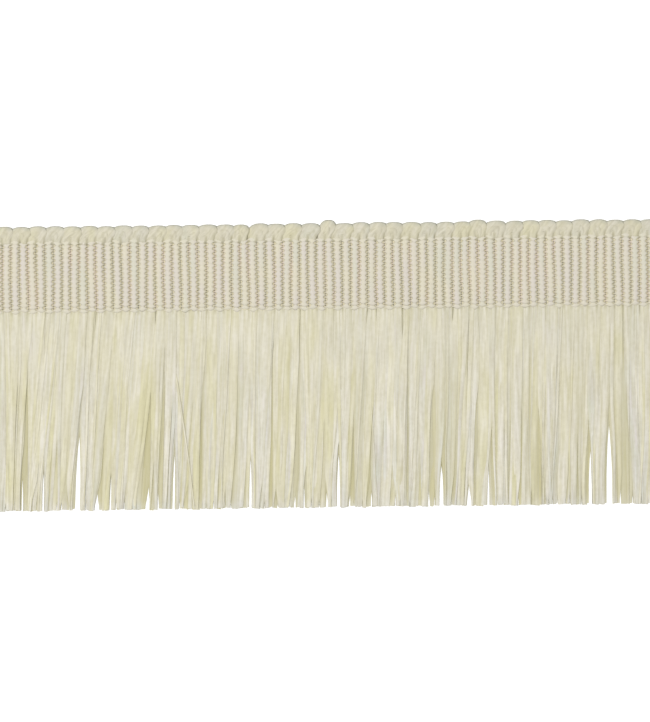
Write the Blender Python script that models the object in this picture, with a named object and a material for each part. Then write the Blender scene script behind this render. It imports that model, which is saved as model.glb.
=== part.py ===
"""A cut length of raffia fringe: a woven heading band, the raffia loops that turn over its upper
edge, and the skirt of flat raffia strands below it.

The fringe lies face up on a flat surface. X runs along the trimming, Y from the strand tips
up to the loops, and Z is up off the surface. The origin is the middle of the footprint, on the surface.
"""

import math
import random
from collections import namedtuple

import bmesh
import bpy

MM = 0.001

# Driving sizes of the trimming, in metres.
RIB_COUNT = 80
RIB_PITCH = 2.25 * MM
DEPTH = 75.0 * MM
LOOP_DEPTH = 3.3 * MM
HEADING_DEPTH = 19.0 * MM
PIECE_GAP = 0.3 * MM

# Heights above the surface, in metres.
RIB_CREST = 1.7 * MM
RIB_VALLEY = 1.0 * MM
LOOP_CREST = 2.1 * MM
LOOP_NOTCH = 1.1 * MM
STRAND_THICKNESS = 0.45 * MM
UPPER_ROW_LEVEL = 0.8 * MM

# Places that follow from those sizes.
LENGTH = RIB_COUNT * RIB_PITCH
LEFT = -LENGTH / 2
TOP = DEPTH / 2
TIP = -DEPTH / 2
LOOP_FOOT = TOP - LOOP_DEPTH
HEADING_TOP = LOOP_FOOT - PIECE_GAP
HEADING_FOOT = HEADING_TOP - HEADING_DEPTH
SKIRT_TOP = HEADING_FOOT - PIECE_GAP

# How the ribs are drawn: points across one rib, rows down the heading, and their wander.
RIB_POINTS = 4
RIB_ROWS = 2
RIB_WANDER = 0.12 * MM
CREST_WANDER = 0.08 * MM

# One loop of raffia spans two ribs, and one rib is left over at each cut end. The crowns lean to the right.
LOOP_PITCH = 2 * RIB_PITCH
LOOP_STEPS = 6
LOOP_LEAN = 0.5 * MM
LOOP_WANDER = 0.2 * MM
LOOP_SCALLOP = 0.95 * MM

ProudLoop = namedtuple("ProudLoop", "place rise")
PROUD_LOOPS = (
    ProudLoop(place=0.0 * MM, rise=0.45 * MM),
    ProudLoop(place=40.5 * MM, rise=0.35 * MM),
)

# The skirt: strands grow from a narrow strip in two rows, one above the other. Towards their
# tips the two rows move apart sideways, so that the upper strands cover the gaps of the lower ones.
STRAND_COLUMNS = 104
STRIP_DEPTH = 1.2 * MM
STRIP_WAVER = 0.06 * MM
ROOT_MARGIN = 0.5 * MM
ROOT_GAP = 0.3 * MM
COLUMN_VARIETY = 0.2
CUT_UNEVENNESS = 0.7 * MM
STRAND_ROOT = SKIRT_TOP - STRIP_DEPTH
STRAND_LENGTH = STRAND_ROOT - TIP

StrandRow = namedtuple("StrandRow", "level shift trim puff sag breaks seed")
LOWER_ROW = StrandRow(0.0, -0.4 * MM, 0.10 * MM, 0.0, 0.0, (0.45, 0.73, 0.87, 1.0), 11)
UPPER_ROW = StrandRow(UPPER_ROW_LEVEL, 0.4 * MM, 0.30 * MM, 0.35 * MM, -0.2 * MM, (0.25, 0.5, 0.73, 0.87, 1.0), 23)

# Where the strands part towards their tips, so that the surface shows between them: the place of
# each parting, its width at the tips, and the share of the strands' length at which it starts.
Parting = namedtuple("Parting", "place width start")
PARTINGS = (
    Parting(place=-81.1 * MM, width=0.4 * MM, start=0.83),
    Parting(place=-75.6 * MM, width=0.5 * MM, start=0.81),
    Parting(place=-66.5 * MM, width=1.4 * MM, start=0.62),
    Parting(place=-57.8 * MM, width=0.6 * MM, start=0.83),
    Parting(place=-41.0 * MM, width=0.6 * MM, start=0.74),
    Parting(place=-20.6 * MM, width=0.6 * MM, start=0.73),
    Parting(place=-6.3 * MM, width=0.4 * MM, start=0.85),
    Parting(place=2.8 * MM, width=0.9 * MM, start=0.75),
    Parting(place=11.5 * MM, width=0.4 * MM, start=0.87),
    Parting(place=30.1 * MM, width=0.9 * MM, start=0.81),
    Parting(place=42.6 * MM, width=0.7 * MM, start=0.74),
    Parting(place=54.2 * MM, width=0.4 * MM, start=0.87),
    Parting(place=69.9 * MM, width=0.9 * MM, start=0.77),
    Parting(place=74.7 * MM, width=1.5 * MM, start=0.62),
)
PARTING_REACH = 4.0 * MM

# Slow sideways lean of the strands: how far the tips go, and the length of each wave along X.
LeanWave = namedtuple("LeanWave", "size length phase")
LEAN_WAVES = (
    LeanWave(size=0.55 * MM, length=61 * MM, phase=0.9),
    LeanWave(size=0.35 * MM, length=27 * MM, phase=2.3),
    LeanWave(size=0.15 * MM, length=12 * MM, phase=4.1),
)
LEAN_FADE = 12 * MM

RAFFIA_COLOUR = (0.70, 0.665, 0.515, 1.0)
HEADING_COLOUR = (0.637, 0.59, 0.462, 1.0)


def clear_scene():
    for thing in list(bpy.data.objects):
        bpy.data.objects.remove(thing)


def matt_material(name, colour, roughness):
    material = bpy.data.materials.new(name)
    material.use_nodes = True
    shader = material.node_tree.nodes["Principled BSDF"]
    shader.inputs["Base Color"].default_value = colour
    shader.inputs["Roughness"].default_value = roughness
    shader.inputs["Metallic"].default_value = 0.0
    material.diffuse_color = colour
    return material


def wave(position, length, phase):
    return math.sin(2 * math.pi * position / length + phase)


def smooth_step(low, high, value):
    share = min(1.0, max(0.0, (value - low) / (high - low)))
    return share * share * (3 - 2 * share)


def add_object(name, mesh_builder, material):
    """Wraps a finished bmesh as a named object in the scene."""
    mesh = bpy.data.meshes.new(name)
    bmesh.ops.recalc_face_normals(mesh_builder, faces=mesh_builder.faces)
    mesh_builder.to_mesh(mesh)
    mesh_builder.free()
    thing = bpy.data.objects.new(name, mesh)
    bpy.context.scene.collection.objects.link(thing)
    thing.data.materials.append(material)
    return thing


def add_skin(mesh_builder, rings):
    """Joins each ring of corners to the next one with four-sided faces, and leaves the ends open."""
    for before, after in zip(rings, rings[1:]):
        for corner in range(len(before)):
            following = (corner + 1) % len(before)
            mesh_builder.faces.new((before[corner], before[following], after[following], after[corner]))


def rib_profile(step):
    """The height of the heading at one point across a rib, from 0 in the valley to 1 on the crest."""
    return math.sin(math.pi * (step % RIB_POINTS) / RIB_POINTS)


def heading_line(row):
    """The points of one row across all the ribs."""
    y = HEADING_FOOT + HEADING_DEPTH * row / RIB_ROWS
    last = RIB_COUNT * RIB_POINTS
    line = []
    for step in range(last + 1):
        x = LEFT + RIB_PITCH * step / RIB_POINTS
        sideways = 0.0 if step in (0, last) else RIB_WANDER * wave(x, 19 * MM, 1.7 * row)
        crest = RIB_CREST - RIB_VALLEY + CREST_WANDER * (wave(x, 31 * MM, 0.9 * row) - 1)
        line.append((x + sideways, y, RIB_VALLEY + crest * rib_profile(step)))
    return line


def build_heading(material):
    """The woven band: a flat back with one rounded rib for each turn of the raffia."""
    heading = bmesh.new()
    grid = [[heading.verts.new(point) for point in heading_line(row)] for row in range(RIB_ROWS + 1)]
    for low, high in zip(grid, grid[1:]):
        for step in range(len(low) - 1):
            heading.faces.new((low[step], low[step + 1], high[step + 1], high[step]))
    back = bmesh.ops.extrude_face_region(heading, geom=list(heading.faces))
    for part in back["geom"]:
        if isinstance(part, bmesh.types.BMVert):
            part.co.z = 0.0
    return add_object("heading_band", heading, material)


def loop_rise(middle):
    """How far a loop's crown stands above or below the common line."""
    for proud in PROUD_LOOPS:
        if abs(middle - proud.place) < LOOP_PITCH / 2:
            return proud.rise - LOOP_WANDER
    return LOOP_WANDER * (0.6 * wave(middle, 23 * MM, 0.4) + 0.4 * wave(middle, 7.3 * MM, 2.0) - 1)


def loop_spans():
    """The left and right end of each loop."""
    notches = [LEFT + RIB_PITCH + LOOP_PITCH * number for number in range(RIB_COUNT // 2)]
    return list(zip([LEFT] + notches, notches + [LEFT + LENGTH]))


def loop_ring(span, share):
    """The section of the loop edge, across its depth, at a share of the way along one loop."""
    left, right = span
    middle = (left + right) / 2
    x = left + (right - left) * share
    arch = math.sqrt(max(0.0, 1 - (2 * share - 1) ** 2))
    highest = max(proud.rise for proud in PROUD_LOOPS) - LOOP_WANDER
    crown = TOP - highest + loop_rise(middle) - LOOP_SCALLOP * (1 - arch)
    thick = LOOP_NOTCH + (LOOP_CREST - LOOP_NOTCH) * arch
    lean = LOOP_LEAN * min(1.0, (LENGTH / 2 - abs(x)) / LOOP_PITCH)
    depth = crown - LOOP_FOOT
    return (
        (x, LOOP_FOOT, 0.0),
        (x, LOOP_FOOT, min(thick, RIB_CREST)),
        (x + 0.6 * lean, LOOP_FOOT + 0.6 * depth, thick),
        (x + lean, crown, 0.5 * thick),
        (x + 0.9 * lean, LOOP_FOOT + 0.9 * depth, 0.0),
    )


def build_loops(material):
    """The row of raffia loops that turn over the upper edge, fused at their feet into one edge."""
    spans = loop_spans()
    places = [(span, step / LOOP_STEPS) for span in spans for step in range(LOOP_STEPS)]
    places.append((spans[-1], 1.0))
    edge = bmesh.new()
    rings = [[edge.verts.new(point) for point in loop_ring(*place)] for place in places]
    add_skin(edge, rings)
    edge.faces.new(rings[0])
    edge.faces.new(rings[-1])
    return add_object("loop_edge", edge, material)


def parted(x, tip_middle, along):
    """Moves a strand's edge off the partings. The middle of the strand's tip says to which side."""
    for parting in PARTINGS:
        if along <= parting.start:
            continue
        side = math.copysign(1.0, tip_middle - parting.place)
        opened = parting.width / 2 * (along - parting.start) / (1 - parting.start)
        clear = max(0.0, side * (x - parting.place))
        x = parting.place + side * (clear + opened * math.exp(-clear / PARTING_REACH))
    return x


def leaned(x, along):
    """The slow sideways lean of the skirt, which dies away at the cut ends of the trimming."""
    size = sum(each.size * wave(x, each.length, each.phase) for each in LEAN_WAVES)
    return size * along**1.4 * smooth_step(0.0, LEAN_FADE, LENGTH / 2 - abs(x))


def strand_columns():
    """The left and right edge of each strand at its root."""
    chance = random.Random(5)
    shares = [chance.uniform(1 - COLUMN_VARIETY, 1 + COLUMN_VARIETY) for _ in range(STRAND_COLUMNS)]
    pitch = (LENGTH - 2 * ROOT_MARGIN) / sum(shares)
    columns = []
    x = LEFT + ROOT_MARGIN
    for share in shares:
        columns.append((x + ROOT_GAP / 2, x + share * pitch - ROOT_GAP / 2))
        x += share * pitch
    return columns


def add_strip(skirt, columns):
    """The strip that holds the roots. It is left open where each strand grows out of it."""
    edges = [LEFT] + [edge for column in columns for edge in column] + [LEFT + LENGTH]
    levels = (0.0, STRAND_THICKNESS, UPPER_ROW_LEVEL, UPPER_ROW_LEVEL + STRAND_THICKNESS)
    rings = []
    for number, x in enumerate(edges):
        back = SKIRT_TOP - STRIP_WAVER * (number % 2)
        corners = [(x, STRAND_ROOT, level) for level in levels]
        corners += [(x, back, levels[-1]), (x, back, 0.0)]
        rings.append([skirt.verts.new(corner) for corner in corners])
    for number, (before, after) in enumerate(zip(rings, rings[1:])):
        at_a_strand = number % 2 == 1
        for corner in range(len(before)):
            if at_a_strand and corner in (0, 2):
                continue
            following = (corner + 1) % len(before)
            skirt.faces.new((before[corner], before[following], after[following], after[corner]))
    skirt.faces.new(rings[0])
    skirt.faces.new(rings[-1])
    return rings[1:-1]


def strand_edge(row, edge, trim, along):
    """Where one edge of a strand lies before the partings move it."""
    return edge + leaned(edge, along) + row.shift * smooth_step(0.0, 0.3, along) + trim * min(1.0, 3 * along)


def strand_section(row, column, along, trims, shortfall):
    """The four corners of one flat strand at a share of its length."""
    tip_middle = sum(strand_edge(row, edge, trim, 1.0) for edge, trim in zip(column, trims)) / 2
    left, right = (
        parted(strand_edge(row, edge, trim, along), tip_middle, along) for edge, trim in zip(column, trims)
    )
    y = STRAND_ROOT - along * (STRAND_LENGTH - shortfall)
    low = row.level + row.puff * math.sin(math.pi * along) + row.sag * along
    high = low + STRAND_THICKNESS
    return ((left, y, low), (right, y, low), (right, y, high), (left, y, high))


def add_strands(skirt, row, columns, roots):
    """Grows one row of strands from the openings of the strip down to their cut tips."""
    chance = random.Random(row.seed)
    for number, (column, root) in enumerate(zip(columns, roots)):
        trims = (row.trim * chance.random(), -row.trim * chance.random())
        shortfall = 0.0 if number == STRAND_COLUMNS // 2 else CUT_UNEVENNESS * chance.random() ** 2
        rings = [root]
        for along in row.breaks:
            section = strand_section(row, column, along, trims, shortfall)
            rings.append([skirt.verts.new(corner) for corner in section])
        add_skin(skirt, rings)
        skirt.faces.new(rings[-1])


def build_skirt(material):
    """The strands and the narrow strip, against the heading, into which their roots are fused."""
    skirt = bmesh.new()
    columns = strand_columns()
    rings = add_strip(skirt, columns)
    pairs = list(zip(rings[0::2], rings[1::2]))
    lower_roots = [(left[0], right[0], right[1], left[1]) for left, right in pairs]
    upper_roots = [(left[2], right[2], right[3], left[3]) for left, right in pairs]
    add_strands(skirt, LOWER_ROW, columns, lower_roots)
    add_strands(skirt, UPPER_ROW, columns, upper_roots)
    return add_object("skirt", skirt, material)


def main():
    clear_scene()
    raffia = matt_material("raffia", RAFFIA_COLOUR, 0.7)
    yarn = matt_material("heading_yarn", HEADING_COLOUR, 0.9)
    build_heading(yarn)
    build_loops(raffia)
    build_skirt(raffia)


main()
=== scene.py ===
"""The looks of a cut length of raffia fringe: thick raffia ribs bound by fine cream threads, raffia
loops that turn over the upper edge, and a skirt of flat raffia tapes in loose layers.

X runs along the trimming, Y from the cut tips up to the loops, and Z is up off the surface.
"""

import math
import random
from collections import namedtuple

import bpy
import numpy as np
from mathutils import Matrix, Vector


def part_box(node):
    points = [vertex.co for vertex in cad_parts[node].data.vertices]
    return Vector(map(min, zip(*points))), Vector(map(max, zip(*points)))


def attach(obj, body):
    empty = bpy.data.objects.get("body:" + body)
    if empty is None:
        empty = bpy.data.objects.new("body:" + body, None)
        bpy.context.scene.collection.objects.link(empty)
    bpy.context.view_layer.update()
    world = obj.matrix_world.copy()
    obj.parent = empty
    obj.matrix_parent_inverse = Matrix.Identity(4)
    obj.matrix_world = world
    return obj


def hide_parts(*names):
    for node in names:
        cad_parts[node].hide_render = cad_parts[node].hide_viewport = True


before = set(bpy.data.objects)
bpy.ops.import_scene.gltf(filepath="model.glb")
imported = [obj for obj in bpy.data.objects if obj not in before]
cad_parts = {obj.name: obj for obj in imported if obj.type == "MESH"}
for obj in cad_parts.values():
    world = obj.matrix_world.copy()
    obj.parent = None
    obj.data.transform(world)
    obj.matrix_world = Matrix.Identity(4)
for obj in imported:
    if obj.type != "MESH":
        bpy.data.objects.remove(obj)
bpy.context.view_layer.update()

MM = 0.001


def table_of(kind, lengths, *rows):
    """The rows of a table. The fields that are named as lengths are given in millimetres."""
    in_mm = [name in lengths.split() for name in kind._fields]
    return tuple(kind(*(value * MM if mm else value for value, mm in zip(row, in_mm))) for row in rows)


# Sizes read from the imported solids.
heading_low, heading_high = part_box("heading_band")
LENGTH = heading_high.x - heading_low.x
LEFT, RIGHT = heading_low.x, heading_high.x
HEADING_FOOT, HEADING_TOP = heading_low.y, heading_high.y
CROWN_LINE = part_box("loop_edge")[1].y
TIP_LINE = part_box("skirt")[0].y

RIB_COUNT = 80
RIB_PITCH = LENGTH / RIB_COUNT

# The picture: a close view straight from above, turned a little.
PICTURE_HEIGHT = 191.7 * MM
PICTURE_TURN = math.radians(-0.72)
PICTURE_MIDDLE = (-0.31 * MM, 1.0 * MM)
LENS_MM = 120.0
FILM_MM = 36.0


def place_camera():
    """A long lens straight above the fringe, so that all of it is seen square on."""
    data = bpy.data.cameras.new("camera")
    data.lens = LENS_MM
    data.sensor_width = FILM_MM
    data.clip_start = 0.01
    data.clip_end = 20.0
    camera = bpy.data.objects.new("camera", data)
    height = PICTURE_HEIGHT * LENS_MM / FILM_MM
    camera.location = (*PICTURE_MIDDLE, height)
    camera.rotation_euler = (0.0, 0.0, PICTURE_TURN)
    bpy.context.scene.collection.objects.link(camera)
    bpy.context.scene.camera = camera


place_camera()

# The woven heading.
THREAD_ROWS = 31
LOWEST_THREAD = HEADING_FOOT - 0.10 * MM
TOP_THREAD = HEADING_TOP - 0.39 * MM
THREAD_PITCH = (TOP_THREAD - LOWEST_THREAD) / (THREAD_ROWS - 1)
WEAVE_LEVEL = 0.86 * MM
FLOAT_RISE = 0.57 * MM
RIB_BREADTH = 2.20 * MM
RIB_DEPTH = 0.78 * MM
RIB_OVERRUN = 1.3 * MM

# One repeat of a binding thread: over one rib and under the next. Places are in rib pitches, and
# the rise is that of the thread's middle, as a share of FLOAT_RISE.
ThreadStep = namedtuple("ThreadStep", "place rise breadth depth")
THREAD_REPEAT = table_of(
    ThreadStep, "breadth depth",
    (0.00, 0.42, 0.52, 0.42),
    (0.10, 0.70, 0.62, 0.44),
    (0.22, 0.88, 0.96, 0.44),
    (0.33, 0.96, 1.95, 0.39),
    (0.50, 1.00, 2.60, 0.36),
    (0.67, 0.96, 1.95, 0.39),
    (0.78, 0.88, 0.96, 0.44),
    (0.90, 0.70, 0.62, 0.44),
    (1.00, 0.42, 0.52, 0.42),
    (1.13, -0.20, 0.42, 0.40),
    (1.30, -0.82, 0.40, 0.40),
    (1.70, -0.82, 0.40, 0.40),
    (1.87, -0.20, 0.42, 0.40),
    (2.00, 0.42, 0.52, 0.42),
)

# The rows nearest to either side of the heading, from the outermost inwards: how far each is moved
# outwards, how plump it is, how far its floats reach outwards, how steeply they slope down there,
# what share of its height above FLOAT_LEVEL it loses, how much of the raffia's colour it takes and
# how much painted shade its valleys get.
EdgeRow = namedtuple("EdgeRow", "shift plump breadth slope sink tone depth")
EDGE_ROWS = table_of(
    EdgeRow, "shift breadth",
    (-0.16, 0.80, 0.75, 0.50, 0.40, 0.42, 0.62),
    (0.10, 0.86, 0.75, 0.50, 0.22, 0.30, 0.72),
    (0.0, 0.95, 0.66, 0.12, 0.05, 0.12, 0.92),
    (0.0, 1.00, 0.90, 0.06, 0.02, 0.05, 1.00),
)
INNER_ROW = EdgeRow(0.0, 1.00, 9.0 * MM, 0.0, 0.0, 0.0, 1.0)
FLOAT_LEVEL = 1.1 * MM

THREAD_RADIUS = 0.4 * MM
THREAD_SIDES = 8

# The loops. Each turns from one rib to the next one, and its right side lies over its neighbour.
LOOP_PITCH = 2 * RIB_PITCH
LOOP_TILT = 0.035
LOOP_LEAN = 0.16
LOOP_SWAY = 0.9
LEFT_ROUNDNESS = 2.5
RIGHT_ROUNDNESS = 3.2
# The raffia ends in a loop, from the outer one inwards: half the width of its arch, how high it
# stands as a share of the outer one, how thick it is and how flat, its level, how far it may stray,
# and half the width between its feet.
LoopTurn = namedtuple("LoopTurn", "half_width reach girth depth level stray foot")
LOOP_TURNS = table_of(
    LoopTurn, "half_width girth level stray foot",
    (2.05, 1.00, 2.50, 0.26, 1.03, 0.12, 1.38),
    (1.00, 0.74, 1.90, 0.45, 0.99, 0.50, 1.00),
    (0.35, 0.45, 1.60, 0.48, 0.96, 0.35, 0.60),
)
# Loops that differ from the rest: how far each stands up, how wide it is and how far it is moved.
OddLoop = namedtuple("OddLoop", "place rise breadth move")
ODD_LOOPS = table_of(
    OddLoop, "place rise move",
    (-24.7, -0.15, 0.92, -0.3),
    (-18.0, 0.10, 0.94, 0.3),
    (-4.5, 0.00, 1.03, 0.3),
    (0.0, 0.75, 0.74, 0.7),
    (4.5, -0.10, 1.04, 0.1),
    (27.0, 0.00, 0.92, -0.2),
    (40.5, 0.45, 0.90, -0.4),
    (49.5, -0.10, 0.93, 0.3),
)

# The skirt.
STRAND_TOP = HEADING_FOOT + 0.5 * MM
STRAND_LENGTH = STRAND_TOP - TIP_LINE
TIP_OVERRUN = 0.6 * MM
TAPE_THICKNESS = 0.05 * MM
TAPE_BREAKS = (0.0, 0.05, 0.14, 0.26, 0.38, 0.50, 0.61, 0.70, 0.78, 0.85, 0.91, 0.955, 0.98, 1.0)

# Where the strands part towards their tips, so that the surface shows between them: the place and
# the width of each parting at the tips, the share of the strands' length at which it starts, and
# how far to either side it moves the strands.
Parting = namedtuple("Parting", "place width start reach")
PARTINGS = table_of(
    Parting, "place width reach",
    (-81.1, 0.45, 0.83, 2.0),
    (-75.6, 0.62, 0.80, 2.0),
    (-66.5, 1.40, 0.62, 4.5),
    (-57.8, 0.50, 0.83, 2.5),
    (-41.0, 0.65, 0.70, 3.0),
    (-20.6, 0.70, 0.76, 3.0),
    (-6.3, 0.36, 0.89, 2.0),
    (2.8, 1.00, 0.73, 3.5),
    (11.5, 0.36, 0.91, 1.5),
    (30.1, 1.20, 0.79, 3.0),
    (42.6, 0.60, 0.80, 3.0),
    (54.2, 0.22, 0.94, 1.5),
    (69.9, 0.95, 0.73, 3.0),
    (74.7, 1.60, 0.61, 4.5),
)

# Where only the upper tapes part and the shaded ones beneath show.
HOLLOWS = table_of(
    Parting, "place width reach",
    (-80.1, 0.70, 0.45, 3.0),
    (-47.9, 1.00, 0.50, 3.5),
    (-44.2, 0.45, 0.35, 2.0),
    (-33.9, 0.80, 0.50, 3.0),
    (-15.0, 0.45, 0.30, 2.5),
    (6.6, 0.80, 0.66, 3.0),
    (21.2, 0.40, 0.30, 2.0),
    (27.2, 0.70, 0.58, 3.0),
    (38.9, 0.60, 0.60, 3.0),
    (56.2, 0.90, 0.62, 3.0),
    (80.2, 0.40, 0.57, 2.0),
)

# Slow waves along the trimming, each as long as given.
SlowWave = namedtuple("SlowWave", "size length phase")

# How far the tips lean sideways on the whole, and how that changes along the trimming.
LEAN = -2.3 * MM
LEAN_FADE = 14 * MM
LEAN_WAVES = table_of(
    SlowWave, "size length",
    (1.45, 190, 0.0),
    (0.90, 100, 2.57),
    (0.35, 27, 2.3),
    (0.28, 12, 4.1),
)
# How much painted shade the tapes get towards their tips.
SHADE_WAVES = table_of(
    SlowWave, "length",
    (0.10, 30.0, 0.86),
    (0.10, 20.3, 4.96),
    (0.16, 11.3, 2.80),
)
# How much yellower the tapes are.
TONE_WAVES = table_of(
    SlowWave, "length",
    (0.09, 11.9, 1.42),
    (0.09, 23.9, 3.29),
    (0.07, 18.4, 3.88),
)

# The layers of tapes, from the surface up, with lengths in millimetres. Each rib has so many places
# for tapes, and the share is how many of those are filled. The cover is the share of a rib's width
# that the roots fill. The widths differ by the spread, and the taper is the most that a tape
# narrows. The levels are those of its root and of the rest of it, which the ruffle lifts and the
# roll turns, in degrees. The wander is how far a tip may stray, the gather how strongly the layer
# follows the tufts, and the clearance how far it stays off the partings, as a share of their width.
# The depth is how much painted shade it gets towards the tips.
LAYER_VALUES = {
    "name": ("under_tapes", "middle_tapes", "upper_tapes", "broad_tapes", "top_strands"),
    "per_rib": (2, 1, 2, 1, 1),
    "share": (1.0, 1.0, 0.80, 0.34, 0.55),
    "cover": (1.20, 1.08, 0.98, 1.00, 1.00),
    "width": (2.00, 2.50, 2.05, 2.90, 0.90),
    "spread": (0.06, 0.25, 0.40, 0.30, 0.55),
    "taper": (0.06, 0.50, 0.50, 0.35, 0.60),
    "root_level": (0.40, 0.98, 1.10, 1.16, 1.20),
    "level": (0.10, 0.28, 0.48, 0.60, 0.70),
    "ruffle": (0.03, 0.07, 0.10, 0.08, 0.10),
    "roll": (1.5, 2.0, 3.5, 2.5, 4.0),
    "wander": (0.15, 0.7, 1.4, 1.2, 2.1),
    "gather": (0.1, 0.6, 1.0, 1.0, 1.2),
    "clearance": (0.9, 1.0, 1.1, 1.2, 1.2),
    "depth": (0.42, 0.38, 0.06, 0.03, 0.02),
    "seed": (3, 7, 13, 19, 29),
}
TapeLayer = namedtuple("TapeLayer", LAYER_VALUES)
TAPE_LAYERS = table_of(TapeLayer, "width root_level level ruffle wander", *zip(*LAYER_VALUES.values()))

# Single strands that lie loose over the skirt: where each comes out and where its tip ends up, the
# share of the length at which it comes up from between the others, and its width.
StrayStrand = namedtuple("StrayStrand", "place tip start width")
STRAY_STRANDS = table_of(
    StrayStrand, "place tip width",
    (-40.3, -35.2, 0.30, 0.60),
    (11.6, 13.0, 0.45, 0.30),
    (58.0, 56.2, 0.40, 0.30),
)

# Gentle waves: how far each goes to either side, and its length divided by 2 pi.
Ripple = namedtuple("Ripple", "size spacing")
# A wave drawn by chance starts anywhere in its turn.
ANY_PHASE = (0, 6.3)

RIB_WANDER = Ripple(0.08 * MM, 3.1 * MM)
RIB_SWING = Ripple(2.2, 7.5 * MM)
RIB_QUIVER = Ripple(0.04 * MM, 1.3 * MM)
QUIVER_SLANT = 3.9 * MM
RIB_FADE = 5 * MM


def smooth_step(low, high, value):
    """Rises smoothly from 0 at the low value to 1 at the high one."""
    share = np.clip((value - low) / (high - low), 0.0, 1.0)
    return share * share * (3 - 2 * share)


def ripple(wave, x, phase=0.0):
    return wave.size * np.sin(x / wave.spacing + phase)


def any_ripple(wave, x, chance):
    return ripple(wave, x, chance.uniform(*ANY_PHASE))


def fade_at_ends(x, width):
    """1 along most of the trimming, falling to 0 at its two cut ends."""
    return smooth_step(0.0, width, LENGTH / 2 - np.abs(x))


def rib_wander(x, y):
    """How far the ribs stray sideways, which the threads over them follow."""
    slow = ripple(RIB_WANDER, x, ripple(RIB_SWING, y))
    quick = ripple(RIB_QUIVER, x, y / QUIVER_SLANT)
    return (slow + quick) * fade_at_ends(x, RIB_FADE)


# Modelling helpers.

# Points closer than this are merged.
MERGE_DISTANCE = 1e-6
# A point this close to a crease or to the end of a tape lies on it.
SAME_PLACE = 1e-4


def clear_selection():
    if bpy.context.mode != "OBJECT":
        bpy.ops.object.mode_set(mode="OBJECT")
    bpy.ops.object.select_all(action="DESELECT")


def take_piece(name):
    """Names the object just added and enters edit mode with all of it selected."""
    piece = bpy.context.object
    piece.name = name
    piece.data.name = name
    bpy.ops.object.transform_apply(location=True, rotation=True, scale=True)
    bpy.ops.object.mode_set(mode="EDIT")
    bpy.ops.mesh.select_mode(type="VERT")
    bpy.ops.mesh.select_all(action="SELECT")
    return piece


def pull_out(start, end, resize=(1.0, 1.0, 1.0)):
    """Extrudes what is selected from one middle point to the next, then resizes it there."""
    step = Vector(end) - Vector(start)
    bpy.ops.mesh.extrude_region_move(TRANSFORM_OT_translate={"value": step})
    bpy.ops.transform.resize(value=resize, center_override=end)


def select_points(piece, wanted):
    """Leaves only the points whose place passes the test selected, in edit mode."""
    bpy.ops.object.mode_set(mode="OBJECT")
    for group in (piece.data.polygons, piece.data.edges):
        group.foreach_set("select", [False] * len(group))
    for point in piece.data.vertices:
        point.select = bool(wanted(point.co))
    bpy.ops.object.mode_set(mode="EDIT")


def finish_shape(piece, angle=180.0):
    """Turns the faces outwards and shades the piece smooth where it bends less than the angle."""
    bpy.ops.mesh.select_all(action="SELECT")
    bpy.ops.mesh.normals_make_consistent(inside=False)
    bpy.ops.object.mode_set(mode="OBJECT")
    bpy.ops.object.shade_smooth_by_angle(angle=math.radians(angle))
    return piece


def points_of(piece):
    places = np.empty(len(piece.data.vertices) * 3)
    piece.data.vertices.foreach_get("co", places)
    return places.reshape(-1, 3)


def set_points(piece, places):
    piece.data.vertices.foreach_set("co", places.ravel())
    piece.data.update()


def set_grain_map(piece, across, along):
    """Stores where each point lies across and along its own fibre, in millimetres, as a UV map."""
    corners = np.empty(len(piece.data.loops), np.int32)
    piece.data.loops.foreach_get("vertex_index", corners)
    layer = piece.data.uv_layers.get("fibre") or piece.data.uv_layers.new(name="fibre")
    layer.data.foreach_set("uv", np.stack([across, along], 1)[corners].ravel() / MM)


def set_share(piece, name, share):
    """Stores a share from 0 to 1 at each point, which the material reads.

    On raffia, the tone runs from the greyest to the yellowest, and the edge is painted shade, from the
    plain colour to the shade at the edges, between the strands and at the loops' rims. On a binding
    thread, the tone is how much of the raffia's colour it takes, and the edge is painted shade that runs
    from the crest to the valley.
    """
    layer = piece.data.attributes.get(name) or piece.data.attributes.new(name, "FLOAT", "POINT")
    layer.data.foreach_set("value", np.clip(share, 0.0, 1.0) * np.ones(len(piece.data.vertices)))


def own_copy(pattern, name):
    """A copy of a pattern with its own mesh."""
    piece = pattern.copy()
    piece.data = pattern.data.copy()
    piece.name = name
    bpy.context.scene.collection.objects.link(piece)
    return piece


def join_copies(copies, name):
    clear_selection()
    for piece in copies:
        piece.select_set(True)
    bpy.context.view_layer.objects.active = copies[0]
    bpy.ops.object.join()
    joined = bpy.context.object
    joined.name = name
    joined.data.name = name
    return joined


def discard(pattern):
    bpy.data.objects.remove(pattern)


# The woven heading.


def model_thread():
    """One binding thread, drawn out step by step over one rib and under the next, then repeated."""
    clear_selection()
    start = THREAD_REPEAT[0]
    left = LEFT - RIB_PITCH
    here = Vector((left, 0.0, WEAVE_LEVEL + FLOAT_RISE * start.rise))
    bpy.ops.mesh.primitive_circle_add(
        vertices=THREAD_SIDES, radius=0.5, location=here, rotation=(0, math.pi / 2, 0)
    )
    thread = take_piece("thread")
    bpy.ops.transform.resize(value=(1.0, start.breadth, start.depth), center_override=here)
    for before, step in zip(THREAD_REPEAT, THREAD_REPEAT[1:]):
        there = Vector((left + RIB_PITCH * step.place, 0.0, WEAVE_LEVEL + FLOAT_RISE * step.rise))
        pull_out(here, there, (1.0, step.breadth / before.breadth, step.depth / before.depth))
        here = there
    finish_shape(thread)
    repeat = thread.modifiers.new("repeat", "ARRAY")
    repeat.count = RIB_COUNT // 2 + 1
    repeat.use_relative_offset = False
    repeat.use_constant_offset = True
    repeat.constant_offset_displace = (2 * RIB_PITCH, 0.0, 0.0)
    repeat.use_merge_vertices = True
    repeat.merge_threshold = 10 * MERGE_DISTANCE
    bpy.ops.object.modifier_apply(modifier=repeat.name)
    return thread


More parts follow.
